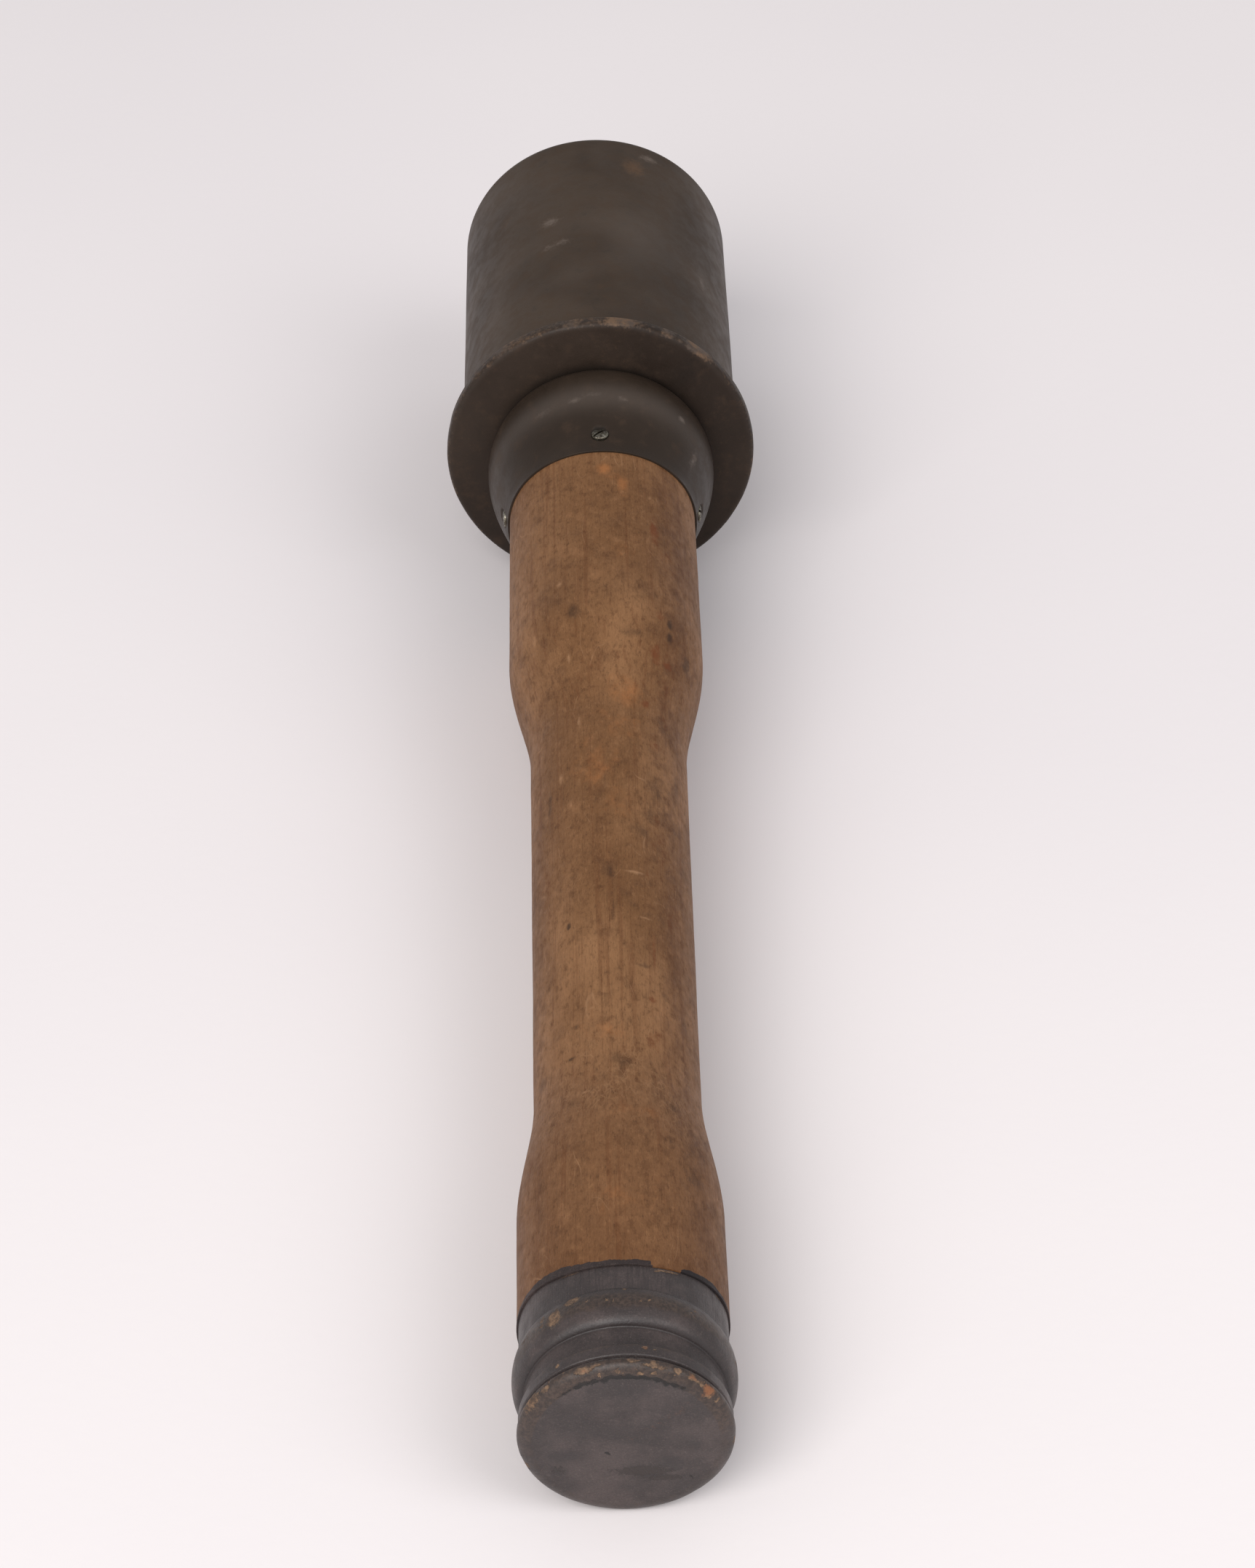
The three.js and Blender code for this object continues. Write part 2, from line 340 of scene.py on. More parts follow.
def handle_material():
    g = Graph("handle_wood", Specular_IOR_Level=0.14)
    colour, speckle, grain, flecks = wood_colour(g)
    blotches = g.noise(2.6 * MM, 6, 0.7, stretch=(1, 0.6, 1), shift=(2, 2, 9))
    # Painted shade down the right side and underneath, broken up by blotches.
    side_shaded = g.step(g.sum(g.layer("side_shade"), blotches), 0.72, 1.2, 0, 0.7)
    colour = g.mix(side_shaded, colour, linear(80, 50, 31))
    warm = g.step(g.sum(g.layer("warm"), g.times(blotches, 1.4)), 0.9, 1.75, 0, 0.65)
    colour = g.mix(warm, colour, linear(164, 106, 62))
    dirt = g.step(g.sum(g.layer("dirt"), g.times(blotches, 1.8)), 1.15, 2.15, 0, 0.85)
    colour = g.mix(dirt, colour, linear(58, 40, 28))
    red = g.step(g.sum(g.layer("red"), g.times(speckle, 1.6)), 1.05, 1.85, 0, 0.7)
    colour = g.mix(red, colour, linear(104, 56, 30))
    light = g.step(g.sum(g.layer("light"), g.times(speckle, 1.5)), 1.05, 1.8, 0, 0.6)
    colour = g.mix(light, colour, linear(172, 132, 98))
    ragged = g.noise(0.55 * MM, 5, 0.75, stretch=(1, 0.4, 1))
    paint = g.step(g.sum(g.layer("paint"), g.times(ragged, 0.9)), 0.9, 1.0)
    lip = g.mix(g.layer("dark_lip"), grey_paint_colour(g), linear(36, 32, 33))
    colour = g.mix(paint, colour, lip)
    height = g.sum(g.times(grain, 0.8), g.times(flecks, -1.0))
    height = g.sum(height, g.times(paint, 0.9))
    return g.done(colour, g.step(speckle, 0.3, 0.7, 0.5, 0.64), g.bump(height, 0.1 * MM, 0.5))


def grey_paint_colour(g):
    broad = g.noise(9 * MM, 4, 0.6)
    colour = g.mix(g.step(broad, 0.4, 0.65), linear(*GREY_DEEP), linear(*GREY_PALE))
    specks = g.noise(0.9 * MM, 5, 0.72, shift=(1, 8, 4))
    colour = g.mix(g.step(specks, 0.3, 0.45, 0.35, 0), colour, linear(42, 36, 35))
    colour = g.mix(g.step(specks, 0.56, 0.8, 0, 0.35), colour, linear(104, 90, 84))
    dust = g.noise(0.3 * MM, 4, 0.75, shift=(2, 2, 7))
    colour = g.mix(g.step(dust, 0.32, 0.48, 0.5, 0), colour, linear(34, 29, 29))
    return g.mix(g.step(dust, 0.54, 0.7, 0, 0.35), colour, linear(110, 97, 92))


def foot_material():
    g = Graph("foot_paint", Specular_IOR_Level=0.45)
    colour = grey_paint_colour(g)
    edge = g.noise(0.7 * MM, 6, 0.72, shift=(4, 4, 4))
    blotch = g.noise(2.2 * MM, 6, 0.7)
    brown = g.step(g.sum(g.layer("worn"), blotch), 0.66, 1.25, 0, 0.85)
    colour = g.mix(brown, colour, g.mix(g.step(edge, 0.36, 0.66), linear(42, 33, 28), linear(74, 59, 50)))
    grain = g.noise(0.4 * MM, 5, 0.7, stretch=(1, 0.05, 1))
    grained = g.times(g.layer("grain"), g.step(grain, 0.46, 0.68, 0, 0.6))
    colour = g.mix(grained, colour, linear(42, 36, 36))
    # Darker where this layer asks: real smudges, and painted shade in the crease under the bead.
    smudge_and_shade = g.step(g.sum(g.layer("smudge_and_shade"), g.times(blotch, 2.0)), 1.15, 1.75, 0, 0.7)
    colour = g.mix(smudge_and_shade, colour, linear(42, 37, 37))
    flaked = g.step(g.sum(g.layer("wrinkle"), g.times(edge, 1.8)), 1.2, 1.5, 0, 0.85)
    colour = g.mix(flaked, colour, linear(44, 36, 33))
    chipped = g.step(g.sum(g.layer("chip"), g.times(edge, 1.2)), 1.05, 1.25)
    tan_spots = g.step(g.noise(1.0 * MM, 5, 0.7, shift=(8, 3, 0)), 0.38, 0.66)
    tan = g.mix(tan_spots, linear(72, 56, 45), linear(128, 101, 77))
    colour = g.mix(g.times(chipped, 0.9), colour, tan)
    rust = g.step(g.sum(g.layer("rust"), g.times(edge, 1.0)), 0.8, 1.2, 0, 0.8)
    colour = g.mix(rust, colour, linear(128, 80, 50))
    # Near-black: the chipped edge of the end face and its nicks, and painted shade in the groove and the
    # cove.
    black = g.step(g.sum(g.layer("black"), g.times(edge, 1.6)), 1.25, 1.5, 0, 0.95)
    colour = g.mix(black, colour, linear(22, 18, 17))
    satin = g.step(g.noise(3 * MM, 4, 0.6, shift=(9, 1, 1)), 0.35, 0.7, 0.4, 0.54)
    rough = g.sum(satin, g.times(chipped, 0.25))
    height = g.sum(g.times(grained, -0.8), g.times(chipped, -1.2))
    height = g.sum(height, g.times(g.noise(0.5 * MM, 3), 0.6))
    height = g.sum(height, g.sum(g.times(flaked, -1.0), g.times(black, -1.2)))
    return g.done(colour, rough, g.bump(height, 0.14 * MM, 0.6))


def olive_paint(name, dark, light, roughness, gloss):
    """Satin olive-brown paint with faint mottling, scuffs and wear, painted highlights, and painted shade in
    creases and recesses.
    """
    g = Graph(name, Specular_IOR_Level=gloss)
    broad = g.noise(30 * MM, 4, 0.55)
    colour = g.mix(g.step(broad, 0.36, 0.66), dark, light)
    fine = g.noise(3.5 * MM, 5, 0.65, shift=(5, 2, 2))
    colour = g.mix(g.step(fine, 0.5, 0.75, 0, 0.3), colour, linear(72, 55, 42))
    colour = g.mix(g.step(fine, 0.28, 0.46, 0.3, 0), colour, linear(34, 28, 21))
    edge = g.noise(0.9 * MM, 5, 0.7, shift=(3, 3, 8))
    scuff = g.step(g.sum(g.layer("scuff"), g.times(edge, 1.3)), 0.8, 1.6, 0, 0.5)
    colour = g.mix(scuff, colour, linear(118, 106, 98))
    rust = g.step(g.sum(g.layer("rust"), g.times(edge, 1.2)), 0.8, 1.5, 0, 0.6)
    colour = g.mix(rust, colour, linear(92, 68, 48))
    # Lighter where this layer asks: random paler tone on the head, and painted highlights on the collar's
    # crest and on parts of the head.
    colour = g.mix(g.layer("tone_and_highlight"), colour, linear(92, 82, 75))
    worn = g.step(g.sum(g.layer("worn"), g.times(edge, 1.3)), 0.95, 1.45, 0, 0.8)
    colour = g.mix(worn, colour, g.mix(g.step(fine, 0.4, 0.6), linear(80, 68, 60), linear(108, 85, 66)))
    # Near-black where the black layer asks: painted shade in the creases and recesses of collar, flange and
    # head, and a real dark smear on the flange.
    grime_and_shade = g.step(g.layer("black"), 0.1, 1.0, 0, 0.85)
    colour = g.mix(grime_and_shade, colour, linear(22, 18, 15))
    rough = g.step(fine, 0.3, 0.7, roughness - 0.06, roughness + 0.08)
    height = g.sum(g.times(g.noise(0.45 * MM, 3, 0.6), 0.6), g.times(worn, -0.8))
    return g.done(colour, rough, g.bump(height, 0.07 * MM, 0.5))


def screw_material():
    g = Graph("screw_metal", Metallic=1.0)
    tarnish = g.noise(0.6 * MM, 4, 0.65)
    colour = g.mix(g.step(tarnish, 0.4, 0.62), linear(152, 148, 136), linear(86, 78, 64))
    paint = g.step(g.noise(1.1 * MM, 3, 0.6, shift=(2, 6, 1)), 0.52, 0.6, 0, 0.7)
    colour = g.mix(paint, colour, linear(64, 57, 50))
    brushed = g.noise(0.25 * MM, 3, 0.6, stretch=(1, 0.2, 1))
    return g.done(colour, g.step(tarnish, 0.3, 0.7, 0.3, 0.55), g.bump(brushed, 0.03 * MM, 0.6))


# ---- the joint between foot cap and handle ----

JOINT_SAG = 3.0 * MM
JOINT_FADE = 6 * MM
TENON_RADIUS = 10 * MM
TENON_LENGTH = 12 * MM
SOCKET_RADIUS = 10.3 * MM
SOCKET_DEPTH = 12.3 * MM
# Tables of (degrees from the top, value): how far the grey paint reaches over the joint, in millimetres,
# and how dark its edge is.
PAINT_LIP = [
    (-180, 0.9), (-110, 1.0), (-80, 0.8), (-66, 1.2), (-50, 2.1), (-37, 2.1), (-28, 1.7),
    (-20, 1.35), (-9, 1.1), (3, 1.1), (10, 1.3), (15.5, 1.1), (17, -0.8), (31, -0.8), (34, 0.9),
    (43, 1.1), (52, 1.5), (66, 0.9), (100, 0.8), (180, 0.9),
]
DARK_LIP = [(-180, 0.0), (28, 0.0), (34, 0.9), (66, 0.8), (80, 0.1), (180, 0.0)]


def between(table, angle):
    """Value at an angle, from a table of (degrees from the top, value)."""
    degrees = math.degrees(angle)
    degrees = degrees - 360 if degrees > 180 else degrees
    for (d0, v0), (d1, v1) in zip(table, table[1:]):
        if d0 <= degrees <= d1:
            return v0 + (v1 - v0) * (degrees - d0) / (d1 - d0)
    return table[-1][1]


def joint_sag(angle, station):
    """How far the hand-cut joint line sits towards the head, fading out away from the joint."""
    fade = max(0.0, 1 - abs(station - FOOT_END) / JOINT_FADE)
    wander = 0.12 * MM * mottle(math.sin(angle), math.cos(angle), 0, 0.35, 7.7)
    round_side = 1.0 if math.cos(angle) < 0 else math.sin(angle) ** 2
    return (JOINT_SAG * round_side + wander) * fade * fade * (3 - 2 * fade)


# ---- foot cap ----

FACE_RADIUS = 15.2 * MM
RIM_RADIUS = 17.8 * MM
RIM_STATION = 1.6 * MM
GROOVE_RADIUS = 16.9 * MM
RING_RADIUS = 17.6 * MM
COVE_RADIUS = 16.4 * MM
BAND_RADIUS = 17.5 * MM
BEAD_CENTRE = 13.9 * MM
BEAD_HALF = 3.9 * MM
LEAN_END = 12 * MM

RIM_CHIPS = in_mm(
    (-60, 1.3, 3.6, 1.2, 0.85), (-47, 1.0, 1.6, 0.5, 0.8), (-22, 1.0, 2.2, 0.7, 0.95),
    (-14, 1.3, 0.9, 0.5, 0.8), (4, 1.5, 1.2, 0.5, 0.85), (16, 1.0, 3.0, 0.5, 0.85),
    (29, 1.2, 1.1, 0.6, 0.95), (38, 0.9, 1.3, 0.5, 0.8), (51, 0.9, 1.8, 0.9, 0.85),
    (95, 1.2, 2.0, 0.8, 0.7), (140, 1.1, 2.6, 0.7, 0.8), (-110, 1.0, 1.8, 0.9, 0.75),
    (-160, 1.3, 2.2, 0.6, 0.7),
)
BEAD_CHIPS = in_mm(
    (-37, 14.2, 1.7, 2.4, 0.95), (-27, 16.4, 1.8, 1.5, 0.9), (-45, 15.6, 1.6, 1.4, 0.6),
    (1, 17.2, 0.5, 0.5, 0.9), (11, 4.6, 0.7, 0.5, 0.95), (15, 4.5, 1.4, 0.3, 0.6),
    (-38, 4.2, 0.6, 0.8, 0.8), (-62, 15.0, 2.2, 1.6, 0.55), (115, 14.8, 2.0, 1.2, 0.7),
    (-140, 15.0, 1.6, 1.5, 0.7), (25, 22.7, 2.6, 0.35, 0.95), (19, 22.4, 0.8, 0.35, 0.8),
    (-30, 23.0, 2.8, 0.25, 0.9), (66, 23.0, 2.4, 0.25, 0.8),
)
RUST_SPOTS = in_mm(
    (51, 0.9, 1.7, 0.9, 0.8), (38, 1.1, 1.2, 0.6, 0.6), (-21, 0.9, 1.2, 0.6, 0.45),
    (11, 4.6, 0.8, 0.6, 0.55),
)
FACE_STROKES = [
    (-3.1, -2.8, -0.6, 0.9, 0.16), (-13.0, -8.6, -0.45, 1.2, 0.14), (10.5, -9.0, 2.1, 0.6, 0.12),
]
FACE_SMUDGES = [
    (-10.0, -3.0, 3.6, 1.8, 0.8), (7.5, -5.5, 4.0, 2.0, 0.65), (-6.0, 4.5, 1.0, 0.8, 0.6),
    (1.5, 11.5, 5.0, 1.6, 0.4), (4.5, -8.6, 4.2, 0.9, 0.75), (11.0, -1.0, 1.6, 2.4, 0.4),
]
FACE_WRINKLES = [
    (2.5, -7.2, 4.6, 1.2, 1.0), (6.0, -9.0, 3.0, 0.8, 0.9), (-11.0, -6.5, 2.0, 1.4, 0.5),
]


def face_lean(station, z):
    """The end face isn't quite square: it stands back at the bottom, and the skew fades out by LEAN_END."""
    fade = max(0.0, 1 - station / LEAN_END)
    return (0.5 * MM - 0.045 * z) * fade * fade * (3 - 2 * fade)


def face_strokes(x, z):
    """Nicks in the end face, from (x, z, direction, half length, half width)."""
    deepest = 0.0
    for cx, cz, direction, half_length, half_width in FACE_STROKES:
        dx, dz = x / MM - cx, z / MM - cz
        along = (dx * math.cos(direction) + dz * math.sin(direction)) / half_length
        across = (dz * math.cos(direction) - dx * math.sin(direction)) / half_width
        deepest = max(deepest, math.exp(-along ** 4 - across ** 2))
    return deepest


def face_patches(patches, x, z):
    """How strongly the patches (x, z, half width, half height, strength) cover a place on the end face."""
    return max(
        strength * math.exp(-((x / MM - cx) / half_width) ** 2 - ((z / MM - cz) / half_height) ** 2)
        for cx, cz, half_width, half_height, strength in patches
    )


def crumbs(x, y, z, threshold, seed):
    """Small irregular flakes: 1 inside a flake, 0 outside."""
    value = mottle(x, y, z, 1.5 * MM, seed) + 0.55 * mottle(x, y, z, 0.6 * MM, seed + 2)
    return min(1.0, max(0.0, (value - threshold) / 0.12))


def foot_wear(angle, station, radius, on_face):
    """Share of the paint rubbed thin: the rim, the ring and the crown of the bead."""
    if on_face:
        return 0.0
    upper = 0.35 + 0.65 * max(0.0, math.cos(angle)) ** 0.6
    rim = 0.95 * upper * min(1.0, max(0.0, (radius - 14.9 * MM) / (0.5 * MM))) if station < 2.3 * MM else 0.0
    ring = 0.45 * math.exp(-((station - 5.1 * MM) / (0.6 * MM)) ** 2)
    bead = 0.9 * math.exp(-((station - 14.4 * MM) / (2.0 * MM)) ** 2)
    return max(rim, ring, bead)


def foot_black(angle, station, x, z, radius, on_face):
    """Dark lines: the chipped edge of the end face and its nicks, and painted shade in the groove and the
    cove.
    """
    edge = 0.0
    turn = angle if angle < math.pi else angle - 2 * math.pi
    if station < 1.0 * MM and radius > 13 * MM:
        wander = mottle(x, 0, z, 2.9 * MM) + mottle(x, 0, z, 0.9 * MM, 6.4)
        middle = FACE_RADIUS + 0.1 * MM + 0.3 * MM * wander
        width = (0.62 + 0.4 * mottle(x, 0, z, 1.2 * MM, 5.0)) * MM
        across = math.exp(-((radius - middle) / max(0.1 * MM, width)) ** 2)
        upper = max(0.2, min(1.0, 1.75 - abs(turn) / 0.62))
        edge = across * upper * (0.85 + 0.5 * mottle(x, 0, z, 1.3 * MM, 3.3))
    # Painted shade in the groove behind the rim and in the crease under the bead.
    groove = 0.55 * math.exp(-((station - 2.65 * MM) / (0.3 * MM)) ** 2)
    cove = 0.25 * math.exp(-((station - 10.0 * MM) / (0.5 * MM)) ** 2)
    return max(edge, face_strokes(x, z) if on_face else max(groove, cove))


def foot_relief(angle, station, radius):
    x, z = radius * math.sin(angle), radius * math.cos(angle)
    on_face = station < 0.02 * MM and radius < FACE_RADIUS
    worn = foot_wear(angle, station, radius, on_face)
    marks = max(marked(RIM_CHIPS, angle, station, radius), marked(BEAD_CHIPS, angle, station, radius))
    flakes = crumbs(x, station, z, 0.42, 2.2) * min(1.0, max(0.0, worn - 0.45) * 2.2)
    chip = 0.0 if on_face and radius < 14.6 * MM else max(marks, 0.85 * flakes)
    bare_joint = station > FOOT_END - 0.03 * MM and radius < BAND_RADIUS - 0.3 * MM
    in_socket = station > FOOT_END - SOCKET_DEPTH - 0.7 * MM and radius < SOCKET_RADIUS + 0.3 * MM
    chip = 0.9 if bare_joint or in_socket else chip
    black = foot_black(angle, station, x, z, radius, on_face)
    grain = 1.0 if station > BEAD_CENTRE + BEAD_HALF - 0.5 * MM else 0.3
    if on_face:
        wrinkle = face_patches(FACE_WRINKLES, x, z)
        smudge_and_shade = face_patches(FACE_SMUDGES, x, z)
    else:
        wrinkle = 0.0
        smudge_and_shade = 0.4 * max(0.0, mottle(x, station, z, 8 * MM, 9.1))
    # Painted shade in the crease where the cove meets the bead, added to the smudges.
    smudge_and_shade = max(smudge_and_shade, 0.75 * math.exp(-((station - 10.1 * MM) / (0.5 * MM)) ** 2))
    rust = marked(RUST_SPOTS, angle, station, radius)
    ragged = 0.6 + 0.4 * mottle(x, station, z, 0.8 * MM, 3.3)
    uneven = 0.04 * MM * mottle(x, station, z, 9 * MM, 1.7)
    uneven += 0.03 * MM * worn * mottle(x, station, z, 1.6 * MM, 4.0)
    offset = 0.0 if on_face else uneven - 0.17 * MM * chip * ragged
    lengthways = joint_sag(angle, station) + face_lean(station, z)
    if on_face:
        lengthways += 0.1 * MM * (face_strokes(x, z) + 0.7 * wrinkle * mottle(x, 0, z, 1.1 * MM, 6.0))
        lengthways += 0.05 * MM * mottle(x, 0, z, 7 * MM, 2.8)
    elif station < 1.0 * MM:
        lengthways += 0.14 * MM * min(1.0, black)
    return offset, lengthways, (chip, black, worn, grain, wrinkle, rust, smudge_and_shade)


def make_foot():
    bead = []
    for i in range(41):
        t = i / 40
        base = COVE_RADIUS + 0.3 * MM + (BAND_RADIUS - COVE_RADIUS - 0.3 * MM) * t
        swell = math.sin(math.pi * t)
        bead.append((base + (BEAD_RADIUS - base) * swell, BEAD_CENTRE - BEAD_HALF * math.cos(math.pi * t)))
    edge = []
    for i in range(21):
        t = math.pi / 2 * i / 20
        edge.append((FACE_RADIUS + (RIM_RADIUS - FACE_RADIUS) * math.sin(t), RIM_STATION * (1 - math.cos(t))))
    inner_end = FOOT_END - SOCKET_DEPTH
    outline = joined(
        line((0, FOOT_START), (12 * MM, FOOT_START), 0.6 * MM),
        line((12 * MM, FOOT_START), (FACE_RADIUS, FOOT_START), 0.25 * MM),
        edge,
        rounded([
            (RIM_RADIUS, RIM_STATION, 0), (RIM_RADIUS, 2.05 * MM, 0.3 * MM),
            (GROOVE_RADIUS, 2.4 * MM, 0.12 * MM), (GROOVE_RADIUS, 2.85 * MM, 0.12 * MM),
            (RING_RADIUS, 3.1 * MM, 0.3 * MM),
            (RING_RADIUS, 5.3 * MM, 0.2 * MM), (COVE_RADIUS + 0.3 * MM, 5.7 * MM, 0.3 * MM),
            (COVE_RADIUS, 8.0 * MM, 1.6 * MM), (COVE_RADIUS + 0.3 * MM, BEAD_CENTRE - BEAD_HALF, 0),
        ], 0.25 * MM),
        bead,
        rounded([
            (BAND_RADIUS, BEAD_CENTRE + BEAD_HALF, 0), (BAND_RADIUS, FOOT_END, 0.07 * MM),
            (10.4 * MM, FOOT_END, 0),
        ], 0.35 * MM),
        rounded([
            (SOCKET_RADIUS, FOOT_END, 0), (SOCKET_RADIUS, inner_end, 0.1 * MM), (0, inner_end, 0),
        ], 1.2 * MM),
    )
    layers = ("chip", "black", "worn", "grain", "wrinkle", "rust", "smudge_and_shade")
    foot = turned("foot_cap_turning", outline, FOOT_SEGMENTS, foot_relief, layers)
    finish_piece(foot, FOOT_BODY, "foot_cap", foot_material())


# ---- handle ----

SWELL_RADIUS = 17.8 * MM
WAIST_RADIUS = 14.8 * MM
WAIST_END_RADIUS = 15.15 * MM
SWELL_END = 51 * MM
WAIST_START = 81 * MM
WAIST_END = 179.5 * MM
BARREL_START = 213.5 * MM
LONG_STEP = 0.9 * MM

HANDLE_DIRT = in_mm(
    (-19, 207.3, 2.2, 2.6, 0.9), (-11, 209, 2.6, 1.2, 0.5), (15, 201, 3.4, 1.8, 0.75),
    (1, 214, 0.8, 1.4, 0.7), (32, 214.5, 1.2, 1.8, 0.7), (42, 207.3, 0.9, 1.7, 1.2),
    (43, 203.7, 0.9, 1.7, 1.2), (61, 201, 1.6, 3.5, 0.8), (42, 192, 4.5, 9, 0.45),
    (44, 179, 2.6, 4, 0.6), (38, 155, 3.4, 9, 0.6), (28, 148, 2.2, 3, 0.6),
    (19, 142.5, 2.6, 3, 0.55), (-48, 156, 0.8, 5, 0.7), (58, 150, 5, 34, 0.35),
    (0, 129, 1.7, 3.4, 0.85), (0.5, 118, 0.6, 7, 0.6), (14, 120.3, 1.6, 1.6, 0.6),
    (26, 118, 2.2, 2.2, 0.5), (-4, 101.1, 1.0, 0.9, 0.9), (3, 101.8, 2.0, 1.0, 0.55),
    (18.5, 103.6, 2.2, 1.0, 0.75), (37, 97, 1.3, 1.6, 0.7), (-28, 88, 0.8, 0.8, 0.8),
    (56, 93, 1.4, 1.6, 0.7), (-31.7, 80, 1.1, 0.4, 1.6), (-24, 80, 2.8, 0.6, 0.6),
    (2, 77, 4.6, 3.4, 0.6), (18, 75, 8, 5, 0.5), (40, 52, 5, 11, 0.55), (-61, 80, 2.6, 3, 0.7),
    (-26, 66.5, 3.6, 2.2, 0.6), (31, 67, 4.0, 3.4, 0.6), (52, 50, 5, 9, 0.4),
    (-10, 72, 5, 2.4, 0.45), (130, 120, 12, 30, 0.4), (-120, 180, 10, 24, 0.4),
    (-100, 60, 9, 12, 0.4), (170, 220, 12, 14, 0.4), (-32.3, 116.6, 0.45, 0.75, 2.2),
)
HANDLE_RED = in_mm(
    (32.5, 237, 1.2, 5, 1.0), (34, 208.4, 1.6, 1.4, 0.8), (34, 197.5, 1.4, 3.2, 1.0),
    (44, 196, 1.4, 1.6, 0.9), (29, 182.4, 1.0, 1.6, 0.9), (37, 170.3, 1.6, 2.0, 0.7),
    (44, 190, 5, 22, 0.35), (40, 228, 4, 8, 0.4), (26.5, 129.5, 0.5, 3.0, 0.7),
    (29.5, 108, 0.45, 7, 0.75), (27, 94.8, 1.0, 0.9, 1.0), (28, 84, 2.4, 6, 0.5),
    (-20, 85.2, 0.4, 1.6, 0.8), (8, 80, 2.0, 3.0, 0.35), (36, 140, 3.4, 14, 0.35),
    (46, 120, 3, 14, 0.4), (-52, 130, 3, 16, 0.3), (120, 90, 6, 20, 0.4), (-140, 120, 6, 26, 0.4),
)
HANDLE_WARM = in_mm(
    (2, 255.7, 1.6, 2.4, 1.0), (13, 249.8, 1.6, 4, 0.7), (8, 254, 3, 4, 0.4), (15, 184, 5, 6, 0.6),
    (6, 175, 7, 7, 0.45), (-9, 161, 6, 9, 0.5), (5, 150, 4, 6, 0.4), (-2, 86, 6, 4, 0.4),
    (10, 62, 6, 3, 0.4), (6, 40, 8, 9, 0.3), (12, 227, 6, 7, 0.3),
)
HANDLE_LIGHT = in_mm(
    (-27, 218, 0.8, 1.2, 1.0), (-25, 195.4, 0.5, 1.8, 0.8), (-49, 205.4, 1.4, 3.0, 0.7),
    (-40, 197, 1.6, 1.6, 0.5), (-37, 161.2, 0.7, 2.4, 0.8), (-29, 152, 0.4, 1.6, 0.8),
    (-21, 176, 0.5, 3.4, 0.7), (16.3, 129.5, 2.4, 0.6, 1.0), (24, 117, 1.6, 0.5, 0.8),
    (31, 90.5, 1.4, 1.0, 0.6), (-44.5, 79.8, 2.0, 0.6, 0.8), (-20.5, 69, 1.4, 0.6, 0.7),
    (4, 96, 3, 3, 0.35), (-16, 92, 1.2, 0.9, 0.6), (12, 108, 3, 4, 0.3),
)


def painted_side_shade(angle, x, station, z):
    """Painted shade: darker reddish brown down the right of the handle and on its underside, with a little
    random variation.
    """
    turn = angle if angle < math.pi else angle - 2 * math.pi
    right = 0.42 * math.exp(-((turn - 0.85) / 0.42) ** 2)
    under = 0.3 * max(0.0, -math.cos(angle))
    return max(right, under) + 0.16 * mottle(x, station, z, 20 * MM, 6.6)


def handle_relief(angle, station, radius):
    x, z = radius * math.sin(angle), radius * math.cos(angle)
    wander = 0.07 * MM * mottle(x, station, z, 24 * MM, 4.1) + 0.025 * MM * mottle(x, station, z, 5 * MM, 1.2)
    lip = between(PAINT_LIP, angle) * MM
    lip += 0.3 * MM * mottle(x, 0, z, 1.2 * MM)
    lip += 0.2 * MM * mottle(x, 0, z, 0.5 * MM)
    paint = 1.0 - min(1.0, max(0.0, (station - FOOT_END - lip) / (0.5 * MM) + 0.5))
    if lip < 0 or (station < FOOT_END + 0.4 * MM and radius < SWELL_RADIUS - 0.4 * MM):
        paint = 0.0
    values = [marked(marks, angle, station, radius) for marks in
              (HANDLE_DIRT, HANDLE_RED, HANDLE_WARM, HANDLE_LIGHT)]
    dark = between(DARK_LIP, angle)
    near_joint = math.exp(-((station - FOOT_END) / (1.6 * MM)) ** 2)
    values[0] = max(values[0], 0.35 * near_joint)
    low = min(1.0, max(0.0, (112 * MM - station) / (60 * MM)))
    tone = 0.55 * low * low * (3 - 2 * low)
    raised = 0.03 * MM * paint if station > FOOT_END else 0.0
    scrub = 0.2 + 0.8 * math.exp(-((station - 72 * MM) / (13 * MM)) ** 4)
    worked = (painted_side_shade(angle, x, station, z), paint, dark, tone, scrub)
    return wander + raised, joint_sag(angle, station), (*values, *worked)


def make_handle():
    joint = FOOT_END + 0.06 * MM
    tenon_start = FOOT_END - TENON_LENGTH
    swell_start = joint + 4 * MM
    barrel_end = COLLAR_START + 2.4 * MM
    hidden_end = COLLAR_START + 2.5 * MM
    outline = joined(
        rounded([
            (0, tenon_start, 0), (TENON_RADIUS, tenon_start, 0.2 * MM), (TENON_RADIUS, joint, 0),
        ], 1.2 * MM),
        rounded([
            (10.2 * MM, joint, 0), (SWELL_RADIUS, joint, 0.06 * MM), (SWELL_RADIUS, swell_start, 0),
        ], 0.3 * MM),
        line((SWELL_RADIUS, swell_start), (SWELL_RADIUS, SWELL_END), LONG_STEP),
        flow(SWELL_RADIUS, SWELL_END, WAIST_RADIUS, WAIST_START),
        line((WAIST_RADIUS, WAIST_START), (WAIST_END_RADIUS, WAIST_END), LONG_STEP),
        flow(WAIST_END_RADIUS, WAIST_END, BARREL_RADIUS, BARREL_START),
        line((BARREL_RADIUS, BARREL_START), (BARREL_RADIUS, barrel_end), LONG_STEP),
        [(18.7 * MM, hidden_end), (0, hidden_end)],
    )
    layers = ("dirt", "red", "warm", "light", "side_shade", "paint", "dark_lip", "tone", "scrub")
    handle = turned("handle_turning", outline, HANDLE_SEGMENTS, handle_relief, layers)
    finish_piece(handle, MAIN_BODY, "handle", handle_material())


